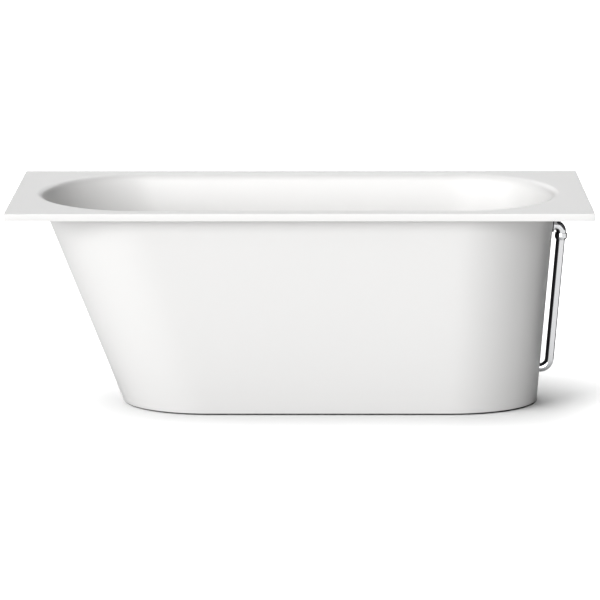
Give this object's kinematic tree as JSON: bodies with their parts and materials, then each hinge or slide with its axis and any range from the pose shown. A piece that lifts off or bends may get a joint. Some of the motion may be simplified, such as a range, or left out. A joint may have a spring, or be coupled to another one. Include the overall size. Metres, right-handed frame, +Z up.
{
  "type": "bathtub",
  "caption": "Freestanding bath: oval tapering vessel under a flat rectangular deck, with an outside overflow pipe, push-open waste and levelling feet.",
  "frame": {"origin": "on the floor under the middle of the deck", "axes": "+X along the deck to the end with the overflow pipe, +Y across to the back, +Z up"},
  "size_m": [1.6, 0.7, 0.6],
  "materials": {
    "white_shell": "gloss",
    "chrome": "polished",
    "brass": "satin",
    "black_rubber": "matte",
    "white_plastic": "satin",
    "plywood": "matte",
    "zinc_steel": "satin",
    "black_plastic": "matte"
  },
  "bodies": {
    "tub": {"deck_slab": "white_shell", "hull_wall": "white_shell", "basin_floor": "white_shell", "overflow_tube": "chrome", "overflow_elbow": "chrome", "overflow_nut": "chrome", "overflow_cover": "chrome", "overflow_screw": "chrome", "waste_flange": "chrome", "pipe_union_nut": "chrome", "waste_body": "brass", "click_cartridge": "brass", "overflow_backnut": "brass", "upper_waste_gasket": "black_rubber", "lower_waste_gasket": "black_rubber", "pipe_union_seal": "black_rubber", "elbow_seal": "black_rubber", "overflow_inner_washer": "black_rubber", "overflow_outer_washer": "black_rubber", "skirt_grommet": "black_rubber", "trap_washer": "black_rubber", "outlet_washer": "black_rubber", "trap_bend": "white_plastic", "trap_nut": "white_plastic", "outlet_nut": "white_plastic", "outlet_elbow": "white_plastic", "floor_elbow": "white_plastic", "base_board": "plywood", "support_rail_left": "zinc_steel", "support_rail_right": "zinc_steel", "rail_screws": "zinc_steel", "rail_nuts": "zinc_steel", "foot_locknuts": "zinc_steel"},
    "plug": {"plug_cap": "chrome", "plug_seal": "black_rubber", "plug_stem": "brass"},
    "pad_front_left": {"foot_pad_front_left": "black_plastic"},
    "stud_front_left": {"foot_stud_front_left": "zinc_steel"},
    "pad_front_right": {"foot_pad_front_right": "black_plastic"},
    "stud_front_right": {"foot_stud_front_right": "zinc_steel"},
    "pad_back_left": {"foot_pad_back_left": "black_plastic"},
    "stud_back_left": {"foot_stud_back_left": "zinc_steel"},
    "pad_back_right": {"foot_pad_back_right": "black_plastic"},
    "stud_back_right": {"foot_stud_back_right": "zinc_steel"}
  },
  "joints": [
    {"name": "plug_slide", "type": "slide", "parent": "tub", "child": "plug", "axis": [0, 0, 1], "range_m": [0, 0.008]},
    {"name": "foot_front_left_lift", "type": "slide", "parent": "tub", "child": "pad_front_left", "axis": [0, 0, -1], "range_m": [0, 0.015]},
    {"name": "foot_front_left_turn", "type": "hinge", "parent": "pad_front_left", "child": "stud_front_left", "pos_m": [-0.3, -0.135, 0], "axis": [0, 0, -1], "range_deg": [0, 3085.72]},
    {"name": "foot_front_right_lift", "type": "slide", "parent": "tub", "child": "pad_front_right", "axis": [0, 0, -1], "range_m": [0, 0.015]},
    {"name": "foot_front_right_turn", "type": "hinge", "parent": "pad_front_right", "child": "stud_front_right", "pos_m": [0.3, -0.135, 0], "axis": [0, 0, -1], "range_deg": [0, 3085.72]},
    {"name": "foot_back_left_lift", "type": "slide", "parent": "tub", "child": "pad_back_left", "axis": [0, 0, -1], "range_m": [0, 0.015]},
    {"name": "foot_back_left_turn", "type": "hinge", "parent": "pad_back_left", "child": "stud_back_left", "pos_m": [-0.3, 0.135, 0], "axis": [0, 0, -1], "range_deg": [0, 3085.72]},
    {"name": "foot_back_right_lift", "type": "slide", "parent": "tub", "child": "pad_back_right", "axis": [0, 0, -1], "range_m": [0, 0.015]},
    {"name": "foot_back_right_turn", "type": "hinge", "parent": "pad_back_right", "child": "stud_back_right", "pos_m": [0.3, 0.135, 0], "axis": [0, 0, -1], "range_deg": [0, 3085.72]}
  ],
  "couplings": [
    {"joint": "foot_front_left_turn", "follows": "foot_front_left_lift", "rad_per_m": 3590.4},
    {"joint": "foot_front_right_turn", "follows": "foot_front_right_lift", "rad_per_m": 3590.4},
    {"joint": "foot_back_left_turn", "follows": "foot_back_left_lift", "rad_per_m": 3590.4},
    {"joint": "foot_back_right_turn", "follows": "foot_back_right_lift", "rad_per_m": 3590.4}
  ]
}
